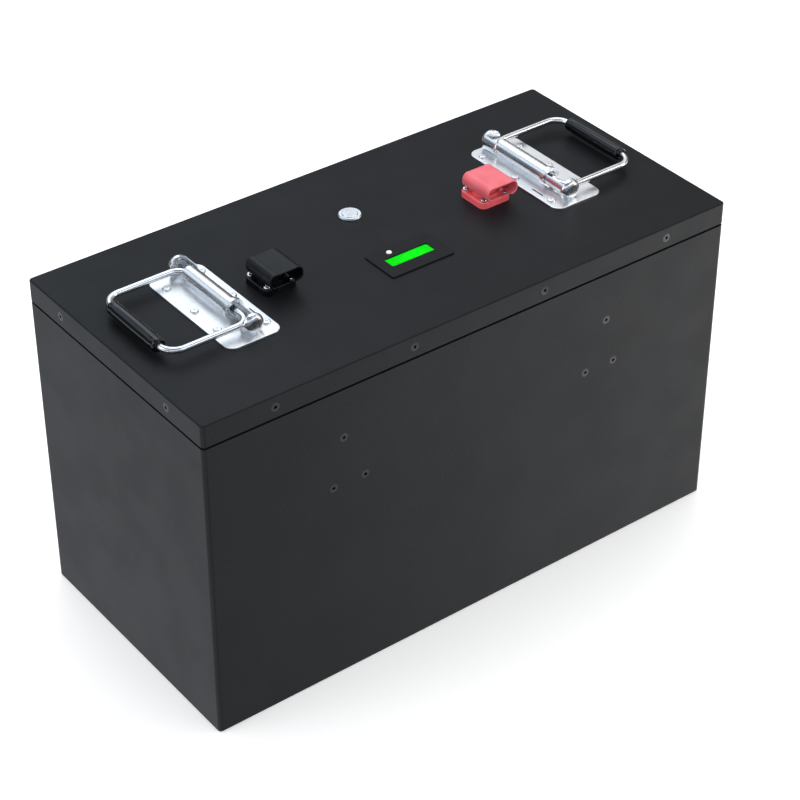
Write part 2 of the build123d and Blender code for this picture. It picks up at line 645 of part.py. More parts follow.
def hood_profile(inset):
    """The oval section across the hood, drawn `inset` inside its outer surface."""
    size = (HOOD_WIDTH - 2 * inset, HOOD_TOP - HOOD_BOTTOM - 2 * inset)
    lower, upper = Rectangle(*size).vertices().group_by(Axis.Y)
    profile = fillet(lower, HOOD_LOWER_RADIUS - inset)
    upper = profile.vertices().group_by(Axis.Y)[-1]
    return fillet(upper, HOOD_UPPER_RADIUS - inset)


def hood(x):
    """A soft oval hood, open at the front, whose slotted floor slides into the base's groove."""
    centre_x = x + HOOD_SHIFT
    middle_z = LID_TOP + (HOOD_BOTTOM + HOOD_TOP) / 2
    length = HOOD_BACK - HOOD_FRONT
    back = Plane((centre_x, TERMINAL_Y + HOOD_BACK, middle_z), x_dir=(1, 0, 0), z_dir=(0, -1, 0))
    outer = extrude(back * hood_profile(0), length)
    outer = fillet(outer.edges().group_by(Axis.Y)[-1], 1.0)
    piece = outer - extrude(back.offset(HOOD_WALL) * hood_profile(HOOD_WALL), length)
    slot_z = (LID_TOP + HOOD_BOTTOM - 1, LID_TOP + HOOD_BOTTOM + HOOD_WALL + 1)
    slot_y = (TERMINAL_Y + HOOD_FRONT - 1, TERMINAL_Y)
    piece -= post(HOOD_SLOT_RADIUS, slot_z, (x, TERMINAL_Y))
    return piece - block((x - HOOD_SLOT_RADIUS, x + HOOD_SLOT_RADIUS), slot_y, slot_z)


# ================================================================ meter
def meter_bezel():
    """The black frame on the lid and its box below, with snap wedges under the lid."""
    at = (METER_X, METER_Y)
    frame = slab(METER_SIZE, 1.6, (LID_TOP, LID_TOP + METER_BEZEL_HEIGHT), at)
    frame = fillet(top_edges(frame), 0.5)
    walls = slab(METER_BODY, 1.0, (METER_BODY_BOTTOM, LID_TOP), at)
    inside = (METER_BODY[0] - 2 * METER_WALL, METER_BODY[1] - 2 * METER_WALL)
    walls -= slab(inside, 0.8, (METER_BODY_BOTTOM, LID_TOP - 0.2), at)
    piece = frame + walls
    piece -= slab(LCD_WINDOW, 1.6, (LID_TOP - 1, LID_TOP + 2), at)
    button_at = (METER_X + METER_BUTTON_AT[0], METER_Y + METER_BUTTON_AT[1])
    piece -= post(METER_BUTTON_RADIUS + 0.1, (LID_TOP - 1, LID_TOP + 2), button_at)
    for side in (-1, 1):
        x = METER_X + side * (METER_BODY[0] / 2 + 0.9)
        piece += block((x - 0.9, x + 0.9), (METER_Y - 6, METER_Y + 6), (LID_UNDERSIDE - 3.0, LID_UNDERSIDE))
    return piece


def meter_lens():
    size = (LCD_WINDOW[0] - 0.1, LCD_WINDOW[1] - 0.1)
    return slab(size, 1.5, (LID_TOP - 0.2, LID_TOP + METER_BEZEL_HEIGHT - 0.3), (METER_X, METER_Y))


def meter_lcd():
    z = (METER_BOARD_Z + METER_BOARD_THICKNESS, LID_TOP - 0.3)
    return slab(LCD_BODY, 0.8, z, (METER_X, METER_Y))


def meter_board():
    """The circuit board with the key under the button and the plug for its leads."""
    z = (METER_BOARD_Z, METER_BOARD_Z + METER_BOARD_THICKNESS)
    board = slab((50.0, 27.6), 1.0, z, (METER_X, METER_Y))
    x = METER_X + METER_BUTTON_AT[0]
    y = METER_Y + METER_BUTTON_AT[1]
    board += block((x - 2.4, x + 2.4), (y - 2.4, y + 2.4), (z[1], z[1] + 1.2))
    plug_x = METER_X + METER_BODY[0] / 2 - 8
    return board + block((plug_x - 8, plug_x), (METER_Y + 2, METER_Y + 13), (METER_PLUG_Z, z[0]))


def meter_button():
    at = (METER_X + METER_BUTTON_AT[0], METER_Y + METER_BUTTON_AT[1])
    cap = post(METER_BUTTON_RADIUS, (LID_TOP - 2.2, METER_BUTTON_TOP), at)
    cap = fillet(top_edges(cap), 0.6)
    collar = post(2.5, (LID_TOP - 2.2, LID_TOP - 0.9), at)
    return cap + collar + post(1.3, (LID_TOP - 4.4, LID_TOP - 2.2), at)


# ================================================================ switch
def switch_body():
    """The round metal head, its bore for the button, the threaded body and the rear contacts."""
    at = (SWITCH_X, SWITCH_Y)
    head = post(SWITCH_HEAD_RADIUS, (LID_TOP, LID_TOP + SWITCH_HEAD_HEIGHT), at)
    head = chamfer(top_edges(head), 0.8)
    body = head + post(SWITCH_THREAD_RADIUS, (SWITCH_BODY_BOTTOM, LID_TOP), at)
    body -= post(SWITCH_CAP_RADIUS + 0.08, (SWITCH_BORE_FLOOR, LID_TOP + SWITCH_HEAD_HEIGHT), at)
    for x in (-2.5, 2.5):
        for y in (-3.5, 3.5):
            contact = (SWITCH_X + x, SWITCH_Y + y)
            body += slab((1.6, 0.8), 0.2, (SWITCH_BODY_BOTTOM - 5, SWITCH_BODY_BOTTOM), contact)
    return body


def switch_button():
    at = (SWITCH_X, SWITCH_Y)
    cap = post(SWITCH_CAP_RADIUS, (SWITCH_BORE_FLOOR + 2.5, SWITCH_CAP_TOP), at)
    return fillet(top_edges(cap), 0.6)


def switch_nut():
    z = (LID_UNDERSIDE - 3.5, LID_UNDERSIDE)
    return hex_nut(19.0, z, SWITCH_THREAD_RADIUS + 0.05, (SWITCH_X, SWITCH_Y))


# ================================================================ handles
def rivet_places(side):
    sign = -1 if side == "left" else 1
    return [(sign * (HANDLE_X[side] + x), HANDLE_Y[side] + y) for x, y in RIVET_PLACES]


def on_lid(side, shape):
    """Put a piece of the right-hand handle on the lid, mirrored for the left one."""
    if side == "left":
        return Pos(-HANDLE_X[side], HANDLE_Y[side], LID_TOP) * mirror(shape, about=Plane.YZ)
    return Pos(HANDLE_X[side], HANDLE_Y[side], LID_TOP) * shape


def handle_plate():
    plate = slab(PLATE_SIZE, PLATE_CORNER_RADIUS, (0, PLATE_THICKNESS))
    plate = fillet(top_edges(plate), 0.5)
    for place in RIVET_PLACES:
        plate -= post(RIVET_SHANK_RADIUS + 0.1, (0, PLATE_THICKNESS), place)
    x, y, width, length = PLATE_SLOT
    slot = extrude(Pos(x, y) * Rot(0, 0, 90) * SlotOverall(length, width), PLATE_THICKNESS)
    return plate - slot


def below_plate_top():
    """The space that the hinge's round pieces are cut off at, so that they stand on the plate."""
    return block((-30, 30), (-60, 60), (-20, PLATE_THICKNESS))


def hinge_barrel():
    """The rolled barrel on its web: a collar in front, open mouths, and a wider chamber for the spring."""
    front = BARREL_Y[0] - COLLAR_LENGTH
    back = BARREL_Y[1]
    piece = hinge_rod(BARREL_RADIUS, BARREL_Y) + hinge_rod(COLLAR_RADIUS, (front, BARREL_Y[0]))
    web_x = (HINGE_X - WEB_HALF_WIDTH, HINGE_X + WEB_HALF_WIDTH)
    piece += block(web_x, (front, back), (PLATE_THICKNESS, HINGE_Z - 3.0))
    piece -= hinge_rod(BARREL_BORE, (front, back)) + hinge_rod(SPRING_CAVITY_RADIUS, SPRING_CAVITY_Y)
    piece -= hinge_rod(MOUTH_RADIUS, (front, front + MOUTH_DEPTH))
    piece -= hinge_rod(MOUTH_RADIUS, (back - MOUTH_DEPTH, back))
    return piece - below_plate_top()


def guard(start, end, shell_radius):
    """The hood over one end of the hinge: a shell on the inner side that ends in a closed dome."""
    y = sorted((start, end))
    outwards = 1 if end > 0 else -1
    leg_y = max(BAIL_LEG_Y) if end > 0 else min(BAIL_LEG_Y)
    leg_side = leg_y + outwards * (WIRE_RADIUS + GUARD_GAP)
    dome = hinge_rod(GUARD_RADIUS, sorted((leg_side, end)))
    dome = fillet(dome.edges().sort_by(Axis.Y)[-1 if outwards > 0 else 0], GUARD_DOME)
    shell = hinge_rod(shell_radius, sorted((start, leg_side))) - hinge_rod(shell_radius - GUARD_WALL, y)
    first, last = (math.radians(angle) for angle in GUARD_SECTOR)
    reach = 4 * GUARD_RADIUS
    far = [(reach * math.cos(angle), reach * math.sin(angle)) for angle in (first, (first + last) / 2, last)]
    section_plane = Plane((HINGE_X, y[1], HINGE_Z), x_dir=(1, 0, 0), z_dir=(0, -1, 0))
    sector = extrude(section_plane * make_face(Polyline((0, 0), *far, close=True)), y[1] - y[0])
    foot_y = sorted((leg_side, end - outwards * 3.0))
    foot = block((HINGE_X - 4, HINGE_X + 4), foot_y, (PLATE_THICKNESS, HINGE_Z - 4.5))
    return dome + (shell & sector) + foot - below_plate_top()


def hinge_guards():
    back = guard(BARREL_Y[1] + 0.3, GUARD_BACK_END, GUARD_RADIUS)
    front = guard(BARREL_Y[0] - COLLAR_LENGTH - 0.3, GUARD_FRONT_END, FRONT_SHELL_RADIUS)
    return back, front


def bail():
    """One bent wire: two legs, a cross-piece for the grip, and ends turned in along the hinge."""
    front_leg, back_leg = BAIL_LEG_Y
    corners = [
        (HINGE_X, BACK_PIN_END, HINGE_Z),
        (HINGE_X, back_leg, HINGE_Z),
        (BAIL_REACH, back_leg, HINGE_Z),
        (BAIL_REACH, front_leg, HINGE_Z),
        (HINGE_X, front_leg, HINGE_Z),
        (HINGE_X, FRONT_PIN_END, HINGE_Z),
    ]
    bends = [BAIL_HINGE_BEND, BAIL_CORNER_RADIUS, BAIL_CORNER_RADIUS, BAIL_HINGE_BEND]
    path = FilletPolyline(*corners, radius=bends)
    section = Plane(origin=path @ 0, z_dir=path % 0) * Circle(WIRE_RADIUS)
    return sweep(section, path=path)


def grip():
    sleeve = Cylinder(GRIP_RADIUS, 2 * GRIP_HALF_LENGTH)
    sleeve = fillet(sleeve.edges().filter_by(GeomType.CIRCLE), 1.2)
    sleeve -= Cylinder(WIRE_RADIUS + 0.05, 2 * GRIP_HALF_LENGTH)
    return Pos(BAIL_REACH, sum(BAIL_LEG_Y) / 2, HINGE_Z) * Rot(90, 0, 0) * sleeve


def handle_spring():
    """The torsion spring round the long pin, inside the barrel's chamber."""
    coil = Helix(pitch=SPRING_PITCH, height=SPRING_PITCH * SPRING_TURNS, radius=SPRING_MEAN_RADIUS)
    section = Plane(origin=coil @ 0, z_dir=coil % 0) * Circle(SPRING_WIRE_RADIUS)
    spring = sweep(section, path=coil)
    start = SPRING_CAVITY_Y[1] - 1.0
    return Pos(HINGE_X, start, HINGE_Z) * Rot(90, 0, 0) * spring


def handle_rivets():
    """Domed rivets through plate and lid, set under the lid."""
    head = Pos(0, 0, RIVET_HEAD_HEIGHT / 2) * Cylinder(RIVET_HEAD_RADIUS, RIVET_HEAD_HEIGHT)
    head = fillet(top_edges(head), 1.2)
    grip_length = PLATE_THICKNESS + SHEET
    shank = Pos(0, 0, -grip_length / 2) * Cylinder(RIVET_SHANK_RADIUS, grip_length)
    bulb = Pos(0, 0, -grip_length - 1.5) * Cylinder(3.0, 3.0)
    dimple = Pos(0, 0, RIVET_HEAD_HEIGHT) * Cylinder(0.9, 1.2)
    rivet = head + shank + bulb - dimple
    z = LID_TOP + PLATE_THICKNESS
    return [Pos(*place, z) * rivet for side in HANDLE_Y for place in rivet_places(side)]


# ================================================================ write every node
os.makedirs("parts", exist_ok=True)

save("case_tub", case_tub())
save("lid", lid())
save("lid_gasket", lid_gasket())
save("case_screws", *at_screws(case_screw()))
save("weld_nuts", *weld_nuts())

for number in range(CELL_COUNT):
    save(f"cell_{number + 1}", cell(number))
save("cell_separators", *cell_separators())
save("end_plates", *end_plates())
save("foam_pads", *foam_pads())
save("base_board", base_board())
save("busbars", *busbars())
save("busbar_nuts", *busbar_nuts())
save("sense_strips", *sense_strips())
save("hold_down_bars", *hold_down_bars())

save("bms_tray", bms_tray())
save("bms_case", bms_case())
save("bms_heatsink", bms_heatsink())
save("cable_positive", tube(POSITIVE_ROUTE, CABLE_RADIUS))
save("cable_cell_negative", tube(CELL_NEGATIVE_ROUTE, CABLE_RADIUS))
save("cable_output_negative", tube(OUTPUT_NEGATIVE_ROUTE, CABLE_RADIUS))
save("cable_lugs", *cable_lugs())
save("control_leads", *control_leads())

for polarity, terminal_x in TERMINAL_X.items():
    save(f"{polarity}_terminal_base", terminal_base(terminal_x))
    save(f"{polarity}_terminal_post", terminal_post(terminal_x))
    save(f"{polarity}_hood", hood(terminal_x))
save("terminal_seats", *terminal_seats())
save("terminal_screws", *terminal_screws())
save("terminal_nuts", *terminal_nuts())

save("meter_bezel", meter_bezel())
save("meter_lens", meter_lens())
save("meter_lcd", meter_lcd())
save("meter_board", meter_board())
save("meter_button", meter_button())
save("switch_body", switch_body())
save("switch_button", switch_button())
save("switch_nut", switch_nut())

for hand in HANDLE_Y:
    save(f"{hand}_handle_plate", on_lid(hand, handle_plate()))
    save(f"{hand}_hinge_barrel", on_lid(hand, hinge_barrel()))
    save(f"{hand}_hinge_guards", *[on_lid(hand, piece) for piece in hinge_guards()])
    save(f"{hand}_bail", on_lid(hand, bail()))
    save(f"{hand}_grip", on_lid(hand, grip()))
    save(f"{hand}_handle_spring", on_lid(hand, handle_spring()))
save("handle_rivets", *handle_rivets())
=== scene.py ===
import json
import math

import bmesh
import bpy
from mathutils import Matrix, Vector


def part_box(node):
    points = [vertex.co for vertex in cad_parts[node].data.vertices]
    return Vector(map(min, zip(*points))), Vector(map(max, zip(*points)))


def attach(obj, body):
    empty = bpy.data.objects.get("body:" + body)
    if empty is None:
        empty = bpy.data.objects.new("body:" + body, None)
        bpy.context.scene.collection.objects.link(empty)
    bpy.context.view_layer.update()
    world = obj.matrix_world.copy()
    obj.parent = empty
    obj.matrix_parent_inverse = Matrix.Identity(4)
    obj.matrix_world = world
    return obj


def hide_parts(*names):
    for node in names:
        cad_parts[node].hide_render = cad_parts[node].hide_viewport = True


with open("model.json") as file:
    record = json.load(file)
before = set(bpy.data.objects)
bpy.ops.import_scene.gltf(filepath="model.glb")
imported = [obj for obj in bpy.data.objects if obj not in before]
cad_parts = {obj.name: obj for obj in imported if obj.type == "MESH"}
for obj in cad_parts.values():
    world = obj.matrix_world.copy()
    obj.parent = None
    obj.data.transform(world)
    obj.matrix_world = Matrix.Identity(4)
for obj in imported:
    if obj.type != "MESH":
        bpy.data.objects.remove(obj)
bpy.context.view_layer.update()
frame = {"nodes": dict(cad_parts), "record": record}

# Battery pack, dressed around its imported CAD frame. Metres, in the frame's own axes.

MM = 0.001

# The camera stands at the front left, above the lid, with its own x level.
CAMERA_PLACE = (-0.9001, -1.2021, 1.2176)
CAMERA_AZIMUTH = -37.25
CAMERA_ELEVATION = 35.87
CAMERA_LENS = 106.2

FLOOR_SIZE = 30.0
FLOOR_DROP = 0.3 * MM

HOOD_VOXEL = 0.35 * MM
HOOD_LIP_LENGTH = 5 * MM
HOOD_LIP_FLARE = 0.22 * MM
HOOD_ROOF_DIP = 0.30
HOOD_LIP_DIP = 0.25

GRIP_HALF_LENGTH = 31.0 * MM
GRIP_RADIUS = 5.8 * MM
GRIP_BORE = 2.6 * MM
GRIP_BEAD = 2.2 * MM
GRIP_LIP = 0.45 * MM
GRIP_WAIST = 0.22 * MM
GRIP_CROWN = 0.18 * MM
GRIP_SECTIONS = 48
GRIP_SIDES = 56
MOULD_LINE_HEIGHT = 0.08 * MM
MOULD_LINE_WIDTH = 0.35 * MM


# ================================================================ material nodes
class Surface:
    """A Principled material, and the few kinds of node that its detail is made of.

    Texture coordinates are the object's own, in metres, so a scale of 1000 is a detail about 1 mm across."""

    def __init__(self, name, **settings):
        self.material = bpy.data.materials.new(name)
        self.material.use_nodes = True
        self.tree = self.material.node_tree
        self.shader = self.tree.nodes["Principled BSDF"]
        self.place = self.add("ShaderNodeTexCoord").outputs["Object"]
        for label, value in settings.items():
            self.shader.inputs[label.replace("_", " ")].default_value = value

    def add(self, kind, inputs=(), **properties):
        node = self.tree.nodes.new(kind)
        for key, value in properties.items():
            setattr(node, key, value)
        for key, value in dict(inputs).items():
            self.feed(node.inputs[key], value)
        return node

    def feed(self, socket, value):
        if isinstance(value, bpy.types.NodeSocket):
            self.tree.links.new(value, socket)
        else:
            socket.default_value = value

    def mapped(self, stretch=(1, 1, 1), centre=(0, 0, 0)):
        """The coordinates moved so that `centre` is the origin, then scaled."""
        moved = self.add("ShaderNodeVectorMath", {0: self.place, 1: centre}, operation="SUBTRACT").outputs[0]
        return self.add("ShaderNodeMapping", {"Vector": moved, "Scale": stretch}).outputs[0]

    def noise(self, scale, detail=3.0, roughness=0.5, stretch=(1, 1, 1)):
        inputs = {"Vector": self.mapped(stretch), "Scale": scale, "Detail": detail, "Roughness": roughness}
        return self.add("ShaderNodeTexNoise", inputs).outputs["Fac"]

    def cells(self, scale):
        return self.add("ShaderNodeTexVoronoi", {"Vector": self.place, "Scale": scale}).outputs["Distance"]

    def rings(self, scale, centre):
        """Fine turning marks round an upright axis through `centre`."""
        vector = self.mapped(centre=centre)
        inputs = {"Vector": vector, "Scale": scale, "Distortion": 0.6, "Detail": 2.0, "Detail Scale": 2.0}
        wave = self.add("ShaderNodeTexWave", inputs, wave_type="RINGS", rings_direction="Z")
        return wave.outputs["Fac"]

    def spread(self, value, low, high, start=0.35, end=0.65):
        """`value` from start to end becomes low to high, smoothly and no further."""
        inputs = {"Value": value, "From Min": start, "From Max": end, "To Min": low, "To Max": high}
        return self.add("ShaderNodeMapRange", inputs, interpolation_type="SMOOTHSTEP").outputs["Result"]

    def blend(self, amount, first, second):
        """Two colours mixed by `amount`."""
        node = self.add("ShaderNodeMix", data_type="RGBA")
        self.feed(node.inputs["Factor"], amount)
        for socket, colour in (("A", first), ("B", second)):
            target = [item for item in node.inputs if item.name == socket and item.type == "RGBA"][0]
            self.feed(target, colour if isinstance(colour, bpy.types.NodeSocket) else (*colour, 1.0))
        return [item for item in node.outputs if item.type == "RGBA"][0]

    def maths(self, operation, first, second):
        return self.add("ShaderNodeMath", {0: first, 1: second}, operation=operation).outputs[0]

    def bump(self, height, depth, under=None):
        """A bump `depth` metres high, on top of the bump `under`."""
        inputs = {"Height": height, "Distance": depth, "Strength": 1.0}
        if under is not None:
            inputs["Normal"] = under
        return self.add("ShaderNodeBump", inputs).outputs["Normal"]

    def edges(self, radius, low=0.02, high=0.3):
        """1 along the edges, 0 on the faces."""
        soft = self.add("ShaderNodeBevel", {"Radius": radius}, samples=4).outputs["Normal"]
        hard = self.add("ShaderNodeNewGeometry").outputs["Normal"]
        dot = self.add("ShaderNodeVectorMath", {0: soft, 1: hard}, operation="DOT_PRODUCT").outputs["Value"]
        return self.spread(self.maths("SUBTRACT", 1.0, dot), 0.0, 1.0, low, high)

    def colour(self, value):
        self.feed(self.shader.inputs["Base Color"], value)

    def roughness(self, value):
        self.feed(self.shader.inputs["Roughness"], value)

    def normal(self, value):
        self.feed(self.shader.inputs["Normal"], value)


# ================================================================ materials
def powder_coat(name, dark, light, rubbed_and_highlight):
    """Satin powder coat: fine grain on a long soft ripple, a little paler along edges, partly rubbed wear
    and partly a painted highlight.
    """
    s = Surface(name, Specular_IOR_Level=0.13)
    cloud = s.spread(s.noise(9.0, 4.0), 0.0, 1.0)
    grain = s.noise(1500.0, 2.0, 0.6)
    ripple = s.noise(330.0, 2.0)
    paint = s.blend(cloud, dark, light)
    paint = s.blend(s.spread(grain, 0.0, 0.4, 0.52, 0.72), paint, rubbed_and_highlight)
    # Paler along the edges: partly rubbed wear, partly a painted highlight.
    s.colour(s.blend(s.maths("MULTIPLY", s.edges(0.9 * MM), 0.55), paint, rubbed_and_highlight))
    patches = s.spread(s.noise(28.0, 5.0), 0.42, 0.46)
    s.roughness(s.maths("ADD", patches, s.spread(grain, -0.03, 0.05)))
    s.normal(s.bump(grain, 0.045 * MM, s.bump(ripple, 0.05 * MM)))
    return s.material


def plated(name, bright, dull, smooth, rough, streak=(1, 1, 1)):
    """Bright plating over pressed steel: faint ripple, polishing lines along one way, handling smudges."""
    s = Surface(name, Metallic=1.0)
    smudge = s.spread(s.noise(55.0, 5.0, 0.6), 0.0, 1.0, 0.42, 0.70)
    lines = s.noise(900.0, 3.0, 0.6, streak)
    ripple = s.noise(120.0, 2.0)
    s.colour(s.blend(smudge, bright, dull))
    s.roughness(s.maths("ADD", s.spread(smudge, smooth, rough, 0.0, 1.0), s.spread(lines, 0.0, 0.05)))
    s.normal(s.bump(lines, 0.004 * MM, s.bump(ripple, 0.015 * MM)))
    return s.material


def moulded(name, dark, light, smooth, rough, grain_scale=1800.0, grain_depth=0.012, **settings):
    """Moulded plastic or rubber: flow variation in colour, patchy gloss, fine tool texture."""
    s = Surface(name, **settings)
    flow = s.spread(s.noise(70.0, 4.0), 0.0, 1.0)
    grain = s.noise(grain_scale, 3.0, 0.6)
    s.colour(s.blend(flow, dark, light))
    s.roughness(s.maths("ADD", s.spread(flow, smooth, rough, 0.0, 1.0), s.spread(grain, -0.02, 0.03)))
    s.normal(s.bump(grain, grain_depth * MM, s.bump(s.noise(180.0, 2.0), 0.03 * MM)))
    return s.material


def soft_vinyl(name, dark, light, edge_highlight, **settings):
    """Dipped soft vinyl: satin skin with a painted highlight along its edges, and a fine matt bloom."""
    s = Surface(name, **settings)
    flow = s.spread(s.noise(90.0, 4.0), 0.0, 1.0)
    bloom = s.noise(1300.0, 4.0, 0.65)
    skin = s.blend(flow, dark, light)
    # Painted highlight: the skin is blended towards a paler colour along its edges.
    s.colour(s.blend(s.maths("MULTIPLY", s.edges(0.9 * MM, 0.01, 0.2), 0.6), skin, edge_highlight))
    s.roughness(s.maths("ADD", s.spread(flow, 0.34, 0.42, 0.0, 1.0), s.spread(bloom, -0.03, 0.04)))
    s.normal(s.bump(bloom, 0.02 * MM, s.bump(s.noise(160.0, 3.0), 0.06 * MM)))
    return s.material


def turned_metal(name, bright, dull, centres, smooth=0.18, rough=0.30):
    """Turned metal: fine rings round one upright axis."""
    s = Surface(name, Metallic=1.0)
    ring = s.rings(1400.0, centres)
    smudge = s.spread(s.noise(140.0, 4.0), 0.0, 1.0)
    s.colour(s.blend(smudge, bright, dull))
    s.roughness(s.spread(ring, smooth, rough, 0.0, 1.0))
    s.normal(s.bump(ring, 0.008 * MM))
    return s.material


def display(name, glow, edge):
    """The backlit display: even light with a slow fall-off, and the fine pitch of its diffuser."""
    s = Surface(name, Specular_IOR_Level=0.0)
    pool = s.spread(s.noise(45.0, 1.0), 0.0, 1.0)
    lit = s.blend(pool, edge, glow)
    s.colour(s.blend(pool, (0.0, 0.05, 0.0), (0.0, 0.07, 0.0)))
    s.feed(s.shader.inputs["Emission Color"], lit)
    s.shader.inputs["Emission Strength"].default_value = 0.95
    s.roughness(s.spread(s.noise(1800.0), 0.25, 0.35))
    s.normal(s.bump(s.cells(2600.0), 0.004 * MM))
    return s.material


def clear_window(name):
    s = Surface(name, Transmission_Weight=1.0, IOR=1.08)
    s.colour(s.blend(s.noise(60.0), (0.97, 1.0, 0.97), (1.0, 1.0, 1.0)))
    s.roughness(s.spread(s.noise(90.0, 5.0), 0.02, 0.06))
    s.normal(s.bump(s.noise(200.0), 0.003 * MM))
    return s.material


def foam(name, dark, light):
    s = Surface(name, Roughness=0.9, Sheen_Weight=0.2)
    bubbles = s.cells(900.0)
    s.colour(s.blend(s.spread(bubbles, 0.0, 1.0, 0.1, 0.6), dark, light))
    s.roughness(s.spread(bubbles, 0.8, 0.95, 0.1, 0.6))
    s.normal(s.bump(bubbles, 0.25 * MM))
    return s.material


def glass_fibre_board(name, resin, fibre):
    """Woven board: two crossed sets of fibre bundles under resin."""
    s = Surface(name, Coat_Weight=0.3, Coat_Roughness=0.2)
    warp = s.noise(260.0, 2.0, 0.5, (1.0, 0.12, 0.12))
    weft = s.noise(260.0, 2.0, 0.5, (0.12, 1.0, 1.0))
    weave = s.maths("MAXIMUM", warp, weft)
    s.colour(s.blend(s.spread(weave, 0.0, 1.0, 0.45, 0.75), resin, fibre))
    s.roughness(s.spread(weave, 0.35, 0.55))
    s.normal(s.bump(weave, 0.05 * MM))
    return s.material


BLACK = (0.0066, 0.0073, 0.0086)
BLACK_PALER = (0.0078, 0.0087, 0.0102)
ALONG_Y = (1.0, 0.06, 1.0)
ALONG_X = (0.06, 1.0, 1.0)
SWITCH_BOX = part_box("switch_button")
SWITCH_CENTRE = (SWITCH_BOX[0] + SWITCH_BOX[1]) / 2
POST_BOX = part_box("positive_terminal_post")
POST_CENTRE = (POST_BOX[0] + POST_BOX[1]) / 2

FINISHES = {
    # The powder coat's last colour is for paler grain flecks and for the edges, where it is partly rubbed
    # wear and partly a painted highlight.
    "case_paint": powder_coat("powder_coat_black", BLACK, BLACK_PALER, (0.026, 0.028, 0.031)),
    "black_screw": plated("black_oxide", (0.045, 0.045, 0.048), (0.025, 0.025, 0.027), 0.32, 0.44),
    "zinc_steel": plated("zinc", (0.66, 0.67, 0.70), (0.55, 0.55, 0.56), 0.26, 0.40),
    "handle_chrome": plated("bright_plating", (0.92, 0.925, 0.93), (0.86, 0.87, 0.88), 0.20, 0.28, ALONG_Y),
    "plate_chrome": plated("satin_plating", (0.90, 0.905, 0.91), (0.82, 0.83, 0.84), 0.30, 0.40, ALONG_Y),
    "grip_rubber": moulded(
        "grip_black", (0.002, 0.0024, 0.003), (0.003, 0.0036, 0.0045), 0.10, 0.15,
        Specular_IOR_Level=0.40, Coat_Weight=0.10, Coat_Roughness=0.08,
    ),
    # The third colour of each vinyl is a painted highlight along its edges.
    "red_hood": soft_vinyl(
        "vinyl_red", (0.66, 0.115, 0.14), (0.71, 0.14, 0.17), (0.82, 0.26, 0.29),
        Subsurface_Weight=0.25, Subsurface_Scale=1.5 * MM, Subsurface_Radius=(1.0, 0.25, 0.2),
    ),
    "black_hood": soft_vinyl(
        "vinyl_black", (0.003, 0.0035, 0.004), (0.005, 0.0058, 0.0066), (0.020, 0.023, 0.027),
        Specular_IOR_Level=0.22,
    ),
    "red_base": moulded(
        "base_red", (0.78, 0.100, 0.12), (0.83, 0.13, 0.15), 0.24, 0.32,
        Subsurface_Weight=0.1, Subsurface_Scale=1.0 * MM, Subsurface_Radius=(1.0, 0.2, 0.15),
    ),
    "black_base": moulded(
        "base_black", (0.003, 0.003, 0.0035), (0.005, 0.005, 0.0055), 0.24, 0.34, Specular_IOR_Level=0.30,
    ),
    "terminal_brass": turned_metal("brass", (0.86, 0.66, 0.34), (0.74, 0.54, 0.27), POST_CENTRE),
    "terminal_screw": plated("screw_plating", (0.92, 0.92, 0.93), (0.80, 0.80, 0.82), 0.10, 0.20),
    "switch_steel": turned_metal("stainless", (0.84, 0.85, 0.86), (0.72, 0.73, 0.74), SWITCH_CENTRE),
    "meter_plastic": moulded(
        "meter_black", (0.0075, 0.0075, 0.0088), (0.0090, 0.0090, 0.0105), 0.40, 0.46,
        grain_scale=1500.0, grain_depth=0.03, Specular_IOR_Level=0.11,
    ),
    "meter_glass": clear_window("clear_window"),
    "lcd_green": display("display_green", (0.0, 1.0, 0.004), (0.0, 0.86, 0.004)),
    "button_white": moulded("button_white", (0.80, 0.80, 0.79), (0.86, 0.86, 0.85), 0.25, 0.32),
    "circuit_board": moulded("solder_mask", (0.015, 0.13, 0.045), (0.025, 0.19, 0.065), 0.28, 0.38),
    "cell_wrap": moulded("cell_film", (0.02, 0.09, 0.33), (0.035, 0.13, 0.45), 0.22, 0.34),
    "insulator": glass_fibre_board("glass_fibre_board", (0.42, 0.33, 0.13), (0.60, 0.52, 0.28)),
    "foam": foam("foam_grey", (0.03, 0.03, 0.032), (0.08, 0.08, 0.085)),
    "gasket_rubber": foam("gasket_black", (0.012, 0.012, 0.012), (0.03, 0.03, 0.03)),
    "copper": plated("copper", (0.90, 0.52, 0.36), (0.66, 0.33, 0.20), 0.20, 0.36, ALONG_X),
    "tinned_lug": plated("tin", (0.80, 0.80, 0.79), (0.66, 0.66, 0.65), 0.24, 0.38),
    "cable_red": moulded("silicone_red", (0.55, 0.02, 0.02), (0.66, 0.04, 0.035), 0.45, 0.55),
    "cable_black": moulded("silicone_black", (0.012, 0.012, 0.013), (0.02, 0.02, 0.021), 0.45, 0.55),
    "heatsink": plated("aluminium", (0.72, 0.73, 0.74), (0.60, 0.61, 0.62), 0.28, 0.40, ALONG_X),
    "bms_plastic": moulded("housing_black", (0.016, 0.016, 0.018), (0.026, 0.026, 0.028), 0.45, 0.58),
}

for part in frame["record"]["subparts"]:
    for material_slot in frame["nodes"][part["node"]].material_slots:
        material_slot.material = FINISHES[part["material_slot"]]


# ================================================================ soft pieces
def link(piece, body, finish, *nodes):
    """Put a new piece in the scene, on its body, in its finish, in place of the CAD nodes."""
    bpy.context.scene.collection.objects.link(piece)
    piece.data.materials.clear()
    piece.data.materials.append(FINISHES[finish])
    for polygon in piece.data.polygons:
        polygon.use_smooth = True
    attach(piece, body)
    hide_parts(*nodes)


